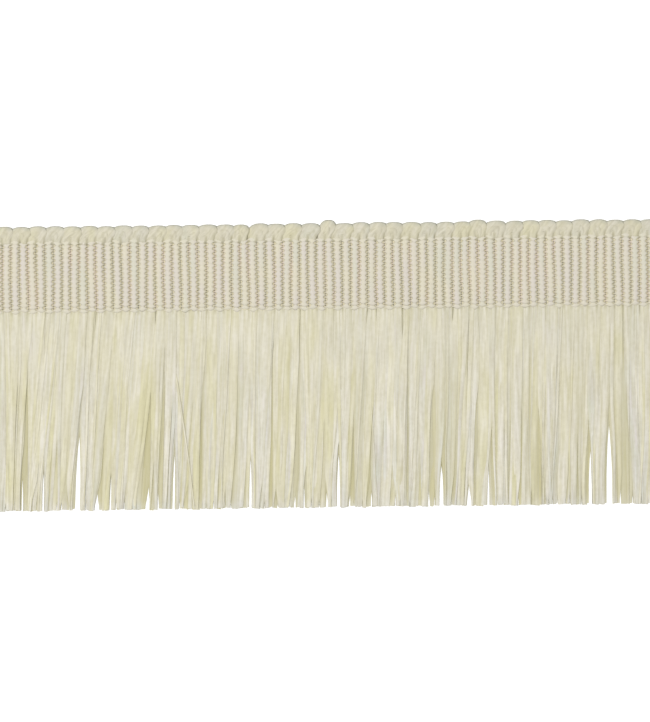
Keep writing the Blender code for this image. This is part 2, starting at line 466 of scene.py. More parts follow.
def cut_to_length(piece):
    """Cuts a piece square at both ends of the trimming and closes the cuts."""
    clear_selection()
    bpy.context.view_layer.objects.active = piece
    piece.select_set(True)
    bpy.ops.object.mode_set(mode="EDIT")
    for end, outward in ((LEFT, -1.0), (RIGHT, 1.0)):
        bpy.ops.mesh.select_all(action="SELECT")
        bpy.ops.mesh.bisect(
            plane_co=(end, 0.0, 0.0), plane_no=(outward, 0.0, 0.0), use_fill=True, clear_outer=True,
            threshold=MERGE_DISTANCE,
        )
    bpy.ops.mesh.select_all(action="SELECT")
    bpy.ops.mesh.normals_make_consistent(inside=False)
    bpy.ops.object.mode_set(mode="OBJECT")


# How a thread strays, swells and lifts along its row.
THREAD_STRAY = Ripple(0.035 * MM, 4.7 * MM)
THREAD_SWELL = Ripple(0.05, 2.9 * MM)
THREAD_LIFT = Ripple(0.03 * MM, 6.1 * MM)

# How the rows waver at the upper and the lower side of the heading, and the shares of its depth
# from which that starts and at which it is full.
TOP_WANDER = Ripple(0.22 * MM, 0.83 * MM)
FOOT_WANDER = Ripple(0.12 * MM, 0.59 * MM)
TOP_WANDER_REACH = (0.75, 1.0)
FOOT_WANDER_REACH = (0.12, 0.0)

# A thread is painted with valley shade at its lowest and has the crest's colour at its highest. It
# changes in two stages of its rise.
LOW_STAGE = (-0.10, 0.50)
HIGH_STAGE = (0.72, 0.97)
LOW_STAGE_SHARE = 0.45


def edge_row(row):
    """The values of a row, by how near it lies to a side of the heading."""
    from_edge = min(row, THREAD_ROWS - 1 - row)
    return EDGE_ROWS[from_edge] if from_edge < len(EDGE_ROWS) else INNER_ROW


def lay_thread(pattern, row, chance):
    """Lays one thread in its row. Alternate rows go over alternate ribs."""
    thread = own_copy(pattern, "thread_row")
    places = points_of(thread)
    repeat = ((places[:, 0] - LEFT) / RIB_PITCH + 1) % 2
    risen = np.interp(repeat, *np.array(THREAD_REPEAT)[:, :2].T)
    around = np.arctan2(places[:, 2] - WEAVE_LEVEL - risen * FLOAT_RISE, places[:, 1])
    places[:, 0] += RIB_PITCH * (row % 2)
    x = places[:, 0]
    edge = edge_row(row)
    side = -1.0 if row < THREAD_ROWS / 2 else 1.0
    y = LOWEST_THREAD + THREAD_PITCH * row + side * edge.shift
    stray = any_ripple(THREAD_STRAY, x, chance)
    plump = edge.plump + any_ripple(THREAD_SWELL, x, chance)
    outward = places[:, 1] * plump * side
    blunted = np.where(outward > 0, edge.breadth * np.tanh(outward / edge.breadth), outward)
    places[:, 2] -= edge.slope * np.maximum(blunted, 0.0)
    places[:, 2] -= edge.sink * np.maximum(places[:, 2] - FLOAT_LEVEL, 0.0)
    places[:, 1] = y + stray + blunted * side
    height = row / (THREAD_ROWS - 1)
    places[:, 1] += ripple(TOP_WANDER, x) * smooth_step(*TOP_WANDER_REACH, height)
    places[:, 1] += ripple(FOOT_WANDER, x) * smooth_step(*FOOT_WANDER_REACH, height)
    places[:, 2] += any_ripple(THREAD_LIFT, x, chance)
    set_points(thread, places)
    set_grain_map(thread, around * THREAD_RADIUS + row * 3 * MM, x)
    set_share(thread, "tone", edge.tone)
    # The edge share is painted shade where the thread dips towards the valleys between the ribs.
    crest = LOW_STAGE_SHARE * smooth_step(*LOW_STAGE, risen)
    crest = crest + (1 - LOW_STAGE_SHARE) * smooth_step(*HIGH_STAGE, risen)
    set_share(thread, "edge", (1 - crest) * edge.depth)
    return thread


def weave_threads():
    """All the binding threads, in two pieces: those of the odd rows and those of the even rows."""
    pattern = model_thread()
    chance = random.Random(41)
    pieces = []
    for parity, name in ((0, "binding_threads_first"), (1, "binding_threads_second")):
        rows = [lay_thread(pattern, row, chance) for row in range(parity, THREAD_ROWS, 2)]
        threads = join_copies(rows, name)
        cut_to_length(threads)
        places = points_of(threads)
        places[:, 0] += rib_wander(places[:, 0], places[:, 1])
        set_points(threads, places)
        pieces.append(threads)
    discard(pattern)
    return pieces


# How a rib is drawn. Its upper end droops under the feet of the loops.
RIB_STEPS = 8
RIB_SIDES = 10
RIB_SWELL = 1.01
RIB_START = HEADING_FOOT - 0.1 * MM
RIB_DROOP = 0.30 * MM
RIB_DROOP_REACH = (HEADING_TOP - 0.3 * MM, HEADING_TOP + 0.8 * MM)
RIB_LIFT = Ripple(0.04 * MM, 3.3 * MM)

# The greyest and the yellowest tone that a rib or a loop is given.
BUNDLE_TONES = (0.2, 0.8)


def model_rib():
    """One rib: a flattened bundle of raffia, a little fuller in its middle."""
    clear_selection()
    depth = HEADING_TOP - HEADING_FOOT + RIB_OVERRUN
    here = Vector((0.0, RIB_START, WEAVE_LEVEL))
    bpy.ops.mesh.primitive_circle_add(
        vertices=RIB_SIDES, radius=0.5, fill_type="NGON", location=here, rotation=(math.pi / 2, 0, 0)
    )
    rib = take_piece("rib")
    bpy.ops.transform.resize(value=(RIB_BREADTH, 1.0, RIB_DEPTH), center_override=here)
    for step in range(RIB_STEPS):
        swell = RIB_SWELL if step < RIB_STEPS / 2 else 1 / RIB_SWELL
        there = here + Vector((0.0, depth / RIB_STEPS, 0.0))
        pull_out(here, there, (swell, 1.0, swell))
        here = there
    return finish_shape(rib, 60.0)


def lay_ribs():
    """The ribs side by side across the whole length, as one ground for the threads."""
    pattern = model_rib()
    chance = random.Random(8)
    ribs = []
    for number in range(RIB_COUNT):
        rib = own_copy(pattern, "rib_copy")
        places = points_of(rib)
        across = places[:, 0].copy()
        places[:, 0] += LEFT + RIB_PITCH * (number + 0.5)
        places[:, 0] += rib_wander(places[:, 0], places[:, 1])
        places[:, 0] = np.clip(places[:, 0], LEFT, RIGHT)
        places[:, 2] += any_ripple(RIB_LIFT, places[:, 1], chance)
        places[:, 2] -= RIB_DROOP * smooth_step(*RIB_DROOP_REACH, places[:, 1])
        set_points(rib, places)
        set_grain_map(rib, across + number * 7 * MM, places[:, 1])
        set_share(rib, "tone", chance.uniform(*BUNDLE_TONES))
        set_share(rib, "edge", 0.0)
        ribs.append(rib)
    discard(pattern)
    return join_copies(ribs, "raffia_ribs")


# The loops along the upper edge.

LOOP_FOOT = HEADING_TOP - 1.25 * MM
LOOP_REACH = CROWN_LINE + 0.12 * MM - HEADING_TOP
TURN_LINE = HEADING_TOP + 0.5 * MM
LEG_STEPS = 2
TURN_STEPS = 10
LOOP_SIDES = 8


def model_loop_turn(turn):
    """One raffia end that comes up from a rib, turns over and goes down into the next rib."""
    clear_selection()
    foot = Vector((-turn.half_width, LOOP_FOOT, turn.level))
    bpy.ops.mesh.primitive_circle_add(
        vertices=LOOP_SIDES, radius=turn.girth / 2, fill_type="NGON", location=foot,
        rotation=(math.pi / 2, 0, 0),
    )
    loop = take_piece("loop_turn")
    rise = Vector((0.0, (TURN_LINE - LOOP_FOOT) / LEG_STEPS, 0.0))
    here = foot
    for step in range(LEG_STEPS):
        pull_out(here, here + rise)
        here = here + rise
    bpy.ops.mesh.spin(
        steps=TURN_STEPS, angle=math.pi, center=(0.0, TURN_LINE, turn.level), axis=(0.0, 0.0, 1.0)
    )
    here = Vector((turn.half_width, TURN_LINE, turn.level))
    for step in range(LEG_STEPS):
        pull_out(here, here - rise)
        here = here - rise
    bpy.ops.mesh.select_all(action="SELECT")
    bpy.ops.mesh.remove_doubles(threshold=MERGE_DISTANCE)
    return finish_shape(loop)


# How a loop's legs are drawn together towards its foot and tucked under the threads.
LEG_DRAWN = (HEADING_TOP - 0.2 * MM, HEADING_TOP + 1.9 * MM)
LEG_INNER_SHARE = 0.6
LEG_NARROWING = 0.15
LEG_TUCKED = (LOOP_FOOT, HEADING_TOP + 0.9 * MM)
FOOT_FULLNESS = 1.1
FOOT_LEVEL = WEAVE_LEVEL + 0.08 * MM


def arch_loop(turn, places):
    """Draws the round bend of a loop out to a broad, squarish arch."""
    arched = places.copy()
    x = places[:, 0]
    above = np.maximum(places[:, 1] - TURN_LINE, 0.0)
    radius = np.hypot(x, above)
    swing = np.arctan2(above, np.abs(x) + 1e-9)
    roundness = np.where(x < 0, LEFT_ROUNDNESS, RIGHT_ROUNDNESS)
    square = (np.cos(swing) ** roundness + np.sin(swing) ** roundness) ** (-1 / roundness)
    outer = turn.half_width + turn.girth / 2
    height = turn.reach * LOOP_REACH - (TURN_LINE - HEADING_TOP)
    turned = above > 0
    arched[turned, 0] = (np.sign(x) * radius * square * np.cos(swing))[turned]
    arched[turned, 1] = (TURN_LINE + radius * square * np.sin(swing) * height / outer)[turned]
    return arched


def bend_loop(turn, places):
    """Arches a loop, flattens it a little and tucks its feet in under the threads."""
    bent = arch_loop(turn, places)
    drawn = 1 - smooth_step(*LEG_DRAWN, bent[:, 1])
    side = np.clip(bent[:, 0] / (LEG_INNER_SHARE * turn.half_width), -1.0, 1.0)
    inwards = side * (turn.foot - turn.half_width)
    bent[:, 0] += (inwards - LEG_NARROWING * (bent[:, 0] - side * turn.half_width)) * drawn
    tucked = 1 - smooth_step(*LEG_TUCKED, bent[:, 1])
    depth = turn.depth + (FOOT_FULLNESS * RIB_DEPTH / turn.girth - turn.depth) * tucked
    level = turn.level + (FOOT_LEVEL - turn.level) * tucked
    bent[:, 2] = level + (bent[:, 2] - turn.level) * depth
    return bent


def odd_loop_at(middle):
    for odd in ODD_LOOPS:
        if abs(odd.place - middle) < LOOP_PITCH / 2:
            return odd
    return OddLoop(place=middle, rise=0.0, breadth=1.0, move=0.0)


# How loops differ by chance: in breadth, in height, sideways, up and down, and in tone.
LOOP_BREADTHS = (0.97, 1.05)
CROWN_UNEVENNESS = 0.14
INNER_UNEVENNESS = 0.8
LEAN_PIVOT = 0.3
STRAY_REACH = (-0.2 * MM, 1.5 * MM)
LOOP_RISE = 0.04
LOOP_TONE = 0.06
LOWEST_LOOP = 0.03 * MM

# The fibres of a loop run slantwise: the cosine and the sine of their slant.
FIBRE_COS = 0.84
FIBRE_SIN = 0.54

# Where painted shade darkens the top of a loop's rim: shares of its own outline and of its height,
# and how dark it gets.
RIM_OUTLINE = (0.86, 1.02)
RIM_HEIGHT = (0.6, 0.95)
RIM_SHADE = 0.75


def lay_loop(turn, pattern, shape, middle, tone, chance):
    """Sets one end of a loop in its place, leaning, tilted over its neighbour and kept inside the ends."""
    odd = odd_loop_at(middle)
    loop = own_copy(pattern, "loop_copy")
    places = shape.copy()
    across = places[:, 0].copy()
    along = places[:, 1] - HEADING_TOP
    breadth = odd.breadth * chance.uniform(*LOOP_BREADTHS)
    stray = chance.uniform(-1, 1) * turn.stray
    uneven = (CROWN_UNEVENNESS + INNER_UNEVENNESS * (1 - turn.reach)) * MM
    rise = 1 + (odd.rise + chance.uniform(-uneven, 0.8 * uneven)) / LOOP_REACH
    places[:, 0] = across * breadth
    places[:, 1] = HEADING_TOP + along * np.where(along > 0, rise, 1.0)
    lean = LOOP_LEAN + chance.uniform(-1, 1) * LOOP_SWAY * turn.stray / turn.half_width
    places[:, 0] += lean * (np.maximum(along, 0.0) - LEAN_PIVOT * LOOP_REACH) + middle
    places[:, 0] += (odd.move + stray) * smooth_step(*STRAY_REACH, along)
    places[:, 2] += LOOP_TILT * across + chance.uniform(-LOOP_RISE, LOOP_RISE) * MM
    places[:, 0] += rib_wander(places[:, 0], places[:, 1])
    places[:, 0] = np.clip(places[:, 0], LEFT, RIGHT)
    places[:, 2] = np.maximum(places[:, 2], LOWEST_LOOP)
    set_points(loop, places)
    own_offset = middle * 5
    set_grain_map(
        loop, FIBRE_COS * across - FIBRE_SIN * along + own_offset, FIBRE_SIN * across + FIBRE_COS * along
    )
    set_share(loop, "tone", tone + chance.uniform(-LOOP_TONE, LOOP_TONE))
    # Painted shade along the top of the rim, where the loop turns away.
    outline = np.hypot(across / (turn.half_width + turn.girth / 2), along / (turn.reach * LOOP_REACH))
    rim = smooth_step(*RIM_OUTLINE, outline) * smooth_step(*RIM_HEIGHT, along / LOOP_REACH)
    set_share(loop, "edge", RIM_SHADE * rim)
    return loop


def loop_middles():
    """The middle of each whole loop. One rib is left over at each end of the length."""
    return [LEFT + RIB_PITCH + LOOP_PITCH * (number + 0.5) for number in range(RIB_COUNT // 2 - 1)]


# The loops at the cut ends are only a rib wide.
END_LOOP_SHARE = 0.45


def turn_loops():
    """All the loops. Each has a broad outer end and two narrower ones inside it."""
    chance = random.Random(17)
    loops = []
    middles = loop_middles()
    tones = [chance.uniform(*BUNDLE_TONES) for middle in middles]
    for turn in LOOP_TURNS:
        pattern = model_loop_turn(turn)
        shape = bend_loop(turn, points_of(pattern))
        for middle, tone in zip(middles, tones):
            loops.append(lay_loop(turn, pattern, shape, middle, tone, chance))
        slim = shape * (END_LOOP_SHARE, 1.0, 1.0)
        for middle in (LEFT + RIB_PITCH / 2, RIGHT - RIB_PITCH / 2):
            loops.append(lay_loop(turn, pattern, slim, middle, 0.5, chance))
        discard(pattern)
    return join_copies(loops, "turned_loops")


# The skirt.

# Short partings at the very tips, in this share of the places where two of the undermost tapes meet.
NICK_SHARE = 0.50
NICK_WIDTH = (0.10 * MM, 0.34 * MM)
NICK_START = (0.945, 0.980)
NICK_CLEARANCE = 1.1 * MM
NICK_REACH = 0.8 * MM
NICK_STRAY = 0.15


def small_nicks():
    """Short partings at the very tips, between the undermost tapes and away from the long partings."""
    chance = random.Random(71)
    nicks = []
    for number in range(1, 2 * RIB_COUNT):
        place = LEFT + RIB_PITCH * number / 2 + chance.uniform(-NICK_STRAY, NICK_STRAY) * MM
        nick = Parting(place, chance.uniform(*NICK_WIDTH), chance.uniform(*NICK_START), NICK_REACH)
        alone = all(abs(place - parting.place) > NICK_CLEARANCE + parting.width / 2 for parting in PARTINGS)
        if chance.random() < NICK_SHARE and alone:
            nicks.append(nick)
    return nicks


ALL_PARTINGS = PARTINGS + tuple(small_nicks())


def add_waves(waves, x):
    return sum(wave.size * np.sin(2 * math.pi * x / wave.length + wave.phase) for wave in waves)


def lean_of(x, along):
    """The slow sideways lean of the skirt, which dies away at the cut ends of the trimming."""
    return (LEAN + add_waves(LEAN_WAVES, x)) * along * fade_at_ends(x, LEAN_FADE)


# The strands gather in loose tufts towards their tips.
Tuft = namedtuple("Tuft", "middle half squeeze tone")
TUFT_WIDTH = (3.0 * MM, 8.5 * MM)
TUFT_SQUEEZE = (0.12, 0.42)
TUFT_TONE = 0.2
TUFT_BLEND = 0.5 * MM
TUFT_EDGE_PULL = 0.4
TUFT_POWER = 1.5
TUFT_FADE = 6 * MM


def gather_tufts():
    """The tufts side by side along the trimming."""
    chance = random.Random(57)
    tufts = []
    left = LEFT
    while left < RIGHT:
        width = chance.uniform(*TUFT_WIDTH)
        squeeze = chance.uniform(*TUFT_SQUEEZE)
        tone = chance.uniform(-TUFT_TONE, TUFT_TONE)
        tufts.append(Tuft(left + width / 2, width / 2, squeeze, tone))
        left += width
    return tufts


TUFTS = gather_tufts()


def tuft_at(x):
    return min(TUFTS, key=lambda tuft: abs(x - tuft.middle) - tuft.half)


def tuft_pull(x, along):
    """How far a strand is drawn to the middle of its tuft."""
    tuft = tuft_at(x)
    inside = smooth_step(0.0, TUFT_BLEND, tuft.half - abs(x - tuft.middle))
    held = TUFT_EDGE_PULL + (1 - TUFT_EDGE_PULL) * inside
    return (tuft.middle - x) * tuft.squeeze * held * along**TUFT_POWER * fade_at_ends(x, TUFT_FADE)


# How a parting opens. The higher a layer lies, the more it keeps clear and the earlier it parts.
PARTING_LEAN = 0.45
LOWEST_CLEARANCE = 0.9
CLEARANCE_RANGE = 0.3
EARLY_SHARE = 0.35
OPENING_SHARE = 0.65
OPENING_POWER = 0.7
CLEAR_BEFORE = 0.12
CLEAR_AFTER = 0.04


def keep_clear(x, middle, along, clearance):
    """Moves a tape off the partings, and narrows it where it would still lie across one."""
    for parting in ALL_PARTINGS + (HOLLOWS if clearance > LOWEST_CLEARANCE else ()):
        height = clearance - LOWEST_CLEARANCE
        start = parting.start - EARLY_SHARE * height * (1 - parting.start) / CLEARANCE_RANGE
        place = parting.place + PARTING_LEAN * (lean_of(parting.place, along) - lean_of(parting.place, 1.0))
        side = 1.0 if (middle - place)[np.argmin(np.abs(along - start))] > 0 else -1.0
        gone = np.clip((along - start) / (OPENING_SHARE * (1 - start)), 0.0, 1.0)
        opened = clearance * parting.width / 2 * gone**OPENING_POWER
        x = x + side * opened * np.exp(-np.abs(x - place) / parting.reach)
        edge = place + side * opened
        clear = np.maximum(x, edge) if side > 0 else np.minimum(x, edge)
        x = x + (clear - x) * smooth_step(start - CLEAR_BEFORE, start + CLEAR_AFTER, along)
    return x


# How uneven the cut is on the whole: three quick waves.
CUT_STEP = 0.09 * MM
CUT_WAVES = ((0.9 * MM, 0.0), (0.41 * MM, 1.7), (2.3 * MM, 0.4))


def cut_line(x):
    """How far the cut tips fall short here and there along the trimming."""
    waves = sum(np.sin(x / spacing + phase) for spacing, phase in CUT_WAVES)
    return CUT_STEP * (waves + len(CUT_WAVES))


# How each kind of tape is creased: the place of each crease as a share of the tape's width, and how
# far it is lifted, in millimetres. Its share is how often that kind is laid.
TapeKind = namedtuple("TapeKind", "name share creases")
Crease = namedtuple("Crease", "place lift")
TAPE_KINDS = (
    TapeKind("flat_tape", 6, (Crease(-0.28, 0.03), Crease(0.0, 0.05), Crease(0.28, 0.03))),
    TapeKind("cupped_tape", 2, (Crease(-0.26, -0.01), Crease(0.0, -0.02), Crease(0.26, -0.01))),
    TapeKind("folded_tape", 3, (Crease(-0.22, 0.10), Crease(-0.05, 0.03), Crease(0.25, 0.03))),
    TapeKind("ridged_tape", 3, (Crease(-0.15, 0.03), Crease(0.12, 0.10), Crease(0.30, 0.03))),
    TapeKind("waved_tape", 3, (Crease(-0.30, 0.07), Crease(-0.02, 0.02), Crease(0.26, 0.06))),
)


def model_tape(kind):
    """One flat raffia tape of unit width and length, pulled down break by break, then creased."""
    clear_selection()
    first = TAPE_BREAKS[1]
    bpy.ops.mesh.primitive_cube_add(
        size=1.0, location=(0.0, -first / 2, 0.0), scale=(1.0, first, TAPE_THICKNESS)
    )
    tape = take_piece(kind.name)
    for before, after in zip(TAPE_BREAKS[1:], TAPE_BREAKS[2:]):
        select_points(tape, lambda place: abs(place.y + before) < SAME_PLACE)
        pull_out((0.0, -before, 0.0), (0.0, -after, 0.0))
    for crease in kind.creases:
        bpy.ops.mesh.select_all(action="SELECT")
        bpy.ops.mesh.bisect(
            plane_co=(crease.place, 0.0, 0.0), plane_no=(1.0, 0.0, 0.0), threshold=MERGE_DISTANCE
        )
        select_points(tape, lambda place: abs(place.x - crease.place) < SAME_PLACE)
        bpy.ops.transform.translate(value=(0.0, 0.0, crease.lift * MM))
    return finish_shape(tape, 40.0)


# The stretches of a tape's length, as shares from its root, over which it changes.
BROADENED = (0.02, 0.22)
TAPERED = (0.25, 1.0)
SETTLED = (0.0, 0.35)
LOOSENED = (0.10, 0.75)
CREASED = (0.0, 0.5)
CUT_SLANTED = (0.97, 1.0)
AT_TIP = (0.93, 1.0)

# How a tape strays, as shares of its layer's wander, ruffle and roll, and how quick its waves are.
WANDER_POWER = 1.3
BOW_SHARE = 0.35
WAVE_SHARE = 0.10
WAVE_TURNS = (5, 11)
LIFTS = (-0.6, 0.8)
LIFT_JITTER = 0.3
RUFFLE_SHARE = 0.35
RUFFLE_TURNS = (4, 9)
ROLL_AT_ROOT = 0.35
ROLL_SHARE = 0.8


def any_wave(along, turns, chance):
    """A wave down a tape, as quick as is drawn from the given range, that starts anywhere in its turn."""
    return np.sin(along * chance.uniform(*turns) + chance.uniform(*ANY_PHASE))


def strand_spine(chance, layer, along):
    """How one tape strays sideways and up and down, and how it rolls, all along its length."""
    loose = smooth_step(*LOOSENED, along)
    wander = chance.uniform(-1, 1) * layer.wander * along**WANDER_POWER
    bow = chance.uniform(-1, 1) * BOW_SHARE * layer.wander * np.sin(math.pi * along)
    wave = WAVE_SHARE * layer.wander * any_wave(along, WAVE_TURNS, chance) * loose
    lift = chance.uniform(*LIFTS) + LIFT_JITTER * math.sin(chance.uniform(*ANY_PHASE))
    lift = layer.ruffle * loose * lift
    lift = lift + RUFFLE_SHARE * layer.ruffle * any_wave(along, RUFFLE_TURNS, chance) * loose
    most_roll = math.radians(layer.roll)
    roll = most_roll * chance.gauss(0.0, 1.0) * (ROLL_AT_ROOT + (1 - ROLL_AT_ROOT) * loose)
    roll = roll + most_roll * ROLL_SHARE * any_wave(along, RUFFLE_TURNS, chance) * loose
    return wander + bow + wave, lift, roll


# The tone of the tapes. They are much alike at the roots, and differ more and more down to the tips.
MEAN_TONE = 0.45
TONE_RISE = 0.03
TONE_RISEN = (0.05, 0.3)
OWN_TONE = 0.54
TONE_SWING = 0.12
TONE_TURNS = 4
TONE_AT_ROOT = 0.30
TONE_GROWTH = 1.9
TONE_POWER = 1.5
TIP_PALING = 0.6
TUFT_TONED = (0.1, 0.7)


def tape_tone(hung, along, offset, chance):
    """The tone of a tape that hangs at a place along the trimming, down its length."""
    slow = add_waves(TONE_WAVES, hung) + tuft_at(hung).tone * smooth_step(*TUFT_TONED, along)
    tone = slow + chance.uniform(-OWN_TONE, OWN_TONE) + TONE_SWING * np.sin(along * TONE_TURNS + offset)
    base = MEAN_TONE + TONE_RISE * smooth_step(*TONE_RISEN, along)
    growth = TONE_AT_ROOT + TONE_GROWTH * along**TONE_POWER
    return base + tone * growth - TIP_PALING * smooth_step(*AT_TIP, along)


# Painted shade on the tapes: in lines along their edges, and all over where a tape lies deep.
LINE_DEPTH = 0.12
LINE_GROWTH = 0.26
LINES_GROWN = (0.05, 0.6)
LINE_AT_ROOT = 0.26
LEFT_ROOT = (0.0, 0.16)
LINE_LOSS_AT_TIP = 0.3
LINE_POWER = 1.8
ROOT_SHADE = 0.18
MEAN_DEPTH = 0.21
OWN_SHADE = (-0.12, 0.08)
SHADE_GROWN = (0.25, 0.80)
WAVES_GROWN = (0.1, 0.65)
SHADE_LOSS_AT_TIP = 0.9


def tape_shade(hung, sideways, along, layer, chance):
    """How much painted shade a tape gets. Sideways runs from -0.5 at its one edge to 0.5 at the other."""
    at_tip = smooth_step(*AT_TIP, along)
    lined = LINE_DEPTH + LINE_GROWTH * smooth_step(*LINES_GROWN, along) - LINE_LOSS_AT_TIP * at_tip
    lined = lined + LINE_AT_ROOT * (1 - smooth_step(*LEFT_ROOT, along))
    own = layer.depth - MEAN_DEPTH + chance.uniform(*OWN_SHADE)
    deep_shade = ROOT_SHADE + own * smooth_step(*SHADE_GROWN, along)
    deep_shade = deep_shade + add_waves(SHADE_WAVES, hung) * smooth_step(*WAVES_GROWN, along)
    return (2 * np.abs(sideways)) ** LINE_POWER * lined + deep_shade * (1 - SHADE_LOSS_AT_TIP * at_tip)


# How tapes differ by chance: at the root, in how much they narrow and how high their creases
# stand, and at the cut, where they fall short by different lengths and slant.
ROOT_WIDTHS = (0.93, 1.12)
LEAST_TAPER = 0.05
LEAST_CREASE = 0.3
CREASE_TURNS = (3, 8)
SHORTFALL_SPREAD = 0.13
MOST_SHORTFALL = 0.6 * MM
CUT_SLANT = 0.25

WANDER_FADE = 4 * MM
LOWEST_TAPE = 0.02 * MM
GRAIN_OFFSETS = (0, 400)
# A tape takes its tone and shade from the place over which it hangs this far down its length.
HUNG_SHARE = 0.7


def lay_tape(pattern, shape, root, width, layer, chance):
    """Lays one tape from its rib down to its cut tip."""
    tape = own_copy(pattern, "tape_copy")
    sideways = shape[:, 0]
    along = -shape[:, 1]
    root_width = min(width, chance.uniform(*ROOT_WIDTHS) * layer.cover * RIB_PITCH / layer.per_rib)
    breadth = root_width + (width - root_width) * smooth_step(*BROADENED, along)
    narrowed = chance.uniform(LEAST_TAPER, layer.taper) * smooth_step(*TAPERED, along)
    across = sideways * breadth * (1 - narrowed)
    stray, lift, roll = strand_spine(chance, layer, along)
    level = layer.root_level + (layer.level - layer.root_level) * smooth_step(*SETTLED, along)
    middle = root + rib_wander(root, HEADING_FOOT) + stray * fade_at_ends(root, WANDER_FADE)
    middle = middle + lean_of(root, along) + layer.gather * tuft_pull(root, along)
    x = keep_clear(middle + across * np.cos(roll), middle, along, layer.clearance)
    own_shortfall = min(MOST_SHORTFALL, abs(chance.gauss(0.0, SHORTFALL_SPREAD)) * MM)
    shortfall = cut_line(middle[np.argmax(along)]) + own_shortfall
    slant = chance.uniform(-CUT_SLANT, CUT_SLANT) * across * smooth_step(*CUT_SLANTED, along)
    y = STRAND_TOP - along * (STRAND_LENGTH + TIP_OVERRUN - shortfall) + slant
    crease_wave = any_wave(along, CREASE_TURNS, chance) ** 2
    creased = LEAST_CREASE + (1 - LEAST_CREASE) * crease_wave * smooth_step(*CREASED, along)
    z = level + lift + shape[:, 2] * creased + across * np.sin(roll)
    lowest = LOWEST_TAPE + shape[:, 2] - shape[:, 2].min()
    set_points(tape, np.stack([np.clip(x, LEFT, RIGHT), y, np.maximum(z, lowest)], 1))
    offset = chance.uniform(*GRAIN_OFFSETS)
    set_grain_map(tape, across + offset * MM, along * STRAND_LENGTH + offset * MM)
    hung = root + lean_of(root, HUNG_SHARE)
    set_share(tape, "tone", tape_tone(hung, along, offset, chance))
    # The edge share is the painted shade.
    set_share(tape, "edge", tape_shade(hung, sideways, along, layer, chance))
    return tape


# How far the roots stray, in rib pitches, in a full layer and in a sparse one.
ROOT_STRAY = 0.10
SPARSE_ROOT_STRAY = 0.35
SPARSE_SHARE = 0.7


def root_places(layer, chance):
    """Where the tapes of a layer leave the heading."""
    stray = SPARSE_ROOT_STRAY if layer.share < SPARSE_SHARE else ROOT_STRAY
    places = []
    for rib in range(RIB_COUNT):
        middle = LEFT + RIB_PITCH * (rib + 0.5)
        loose = chance.uniform(-1, 1) * RIB_PITCH * stray
        for rank in range(layer.per_rib):
            if chance.random() <= layer.share:
                beside = RIB_PITCH * layer.cover * ((rank + 0.5) / layer.per_rib - 0.5)
                places.append(middle + loose + beside)
    return places


# How a loose strand lies.
STRAY_TAPER = 0.3
STRAY_POWER = 0.9
STRAY_SHORTFALL = 0.5 * MM
STRAY_DIP = 0.25 * MM
STRAY_CLIMB = 0.5 * MM
STRAY_CLIMBED = (0.0, 0.2)
STRAY_TONE = 0.5
STRAY_EDGE_SHADE = 0.8


def lay_stray(pattern, shape, strand, layer):
    """Lays one loose strand slantwise over the others. It comes up from between them."""
    tape = own_copy(pattern, "stray_copy")
    along = strand.start - shape[:, 1] * (1 - strand.start)
    gone = (along - strand.start) / (1 - strand.start)
    across = shape[:, 0] * strand.width * (1 - STRAY_TAPER * gone)
    middle = strand.place + (strand.tip - strand.place) * gone**STRAY_POWER
    x = keep_clear(middle + across, middle, along, layer.clearance)
    y = STRAND_TOP - along * (STRAND_LENGTH + TIP_OVERRUN - STRAY_SHORTFALL)
    z = layer.level - STRAY_DIP + STRAY_CLIMB * smooth_step(*STRAY_CLIMBED, gone) + shape[:, 2]
    set_points(tape, np.stack([x, y, z], 1))
    own_offset = strand.place * 9
    set_grain_map(tape, across + own_offset, along * STRAND_LENGTH)
    set_share(tape, "tone", STRAY_TONE)
    # Painted shade along the strand's edges.
    set_share(tape, "edge", (2 * np.abs(shape[:, 0])) ** 2 * STRAY_EDGE_SHADE)
    return tape


# How near to a cut end a tape may lie, as a share of its width.
END_INSET = 0.3


def lay_layer(layer, patterns):
    """One layer of tapes. The loose strands are laid with the topmost one."""
    chance = random.Random(layer.seed)
    shapes = {pattern: points_of(pattern) for pattern in patterns}
    tapes = []
    for root in root_places(layer, chance):
        pattern = chance.choices(patterns, weights=[kind.share for kind in TAPE_KINDS])[0]
        width = layer.width * chance.uniform(1 - layer.spread, 1 + layer.spread)
        root = min(max(root, LEFT + END_INSET * width), RIGHT - END_INSET * width)
        tapes.append(lay_tape(pattern, shapes[pattern], root, width, layer, chance))
    if layer is TAPE_LAYERS[-1]:
        for strand in STRAY_STRANDS:
            tapes.append(lay_stray(patterns[0], shapes[patterns[0]], strand, layer))
    return join_copies(tapes, layer.name)


def lay_skirt():
    patterns = [model_tape(kind) for kind in TAPE_KINDS]
    layers = [lay_layer(layer, patterns) for layer in TAPE_LAYERS]
    for pattern in patterns:
        discard(pattern)
    return layers


# Materials.

# Noise: how many grains lie along X, Y and Z, in a metre of the piece or in a millimetre of its
# fibre map, how detailed it is, and which of its values become 0 and 1.
Noise = namedtuple("Noise", "grains detail low high")
STREAKS = Noise((1.4, 0.10, 1.0), 2.0, 0.30, 0.70)
LINES = Noise((7.0, 0.30, 1.0), 2.0, 0.30, 0.70)
PATCHES = Noise((0.5, 0.10, 1.0), 2.0, 0.32, 0.68)
FIELDS = Noise((240.0, 45.0, 0.0), 2.0, 0.32, 0.68)
MOTTLE = Noise((1000.0, 800.0, 0.0), 2.0, 0.30, 0.70)
SLOW_MOTTLE = Noise((95.0, 22.0, 0.0), 1.0, 0.35, 0.65)
ROOT_MOTTLE = Noise((700.0, 400.0, 0.0), 1.0, 0.0, 1.0)
CREAM_COLUMNS = Noise((330.0, 70.0, 0.0), 2.0, 0.38, 0.62)
MINT_COLUMNS = Noise((290.0, 55.0, 20.0), 2.0, 0.52, 0.66)
BROWN_COLUMNS = Noise((240.0, 60.0, 0.0), 2.0, 0.46, 0.60)
FLOOR_MOTTLE = Noise((3.0, 3.0, 3.0), 1.0, 0.0, 1.0)
NOISE_ROUGHNESS = 0.55


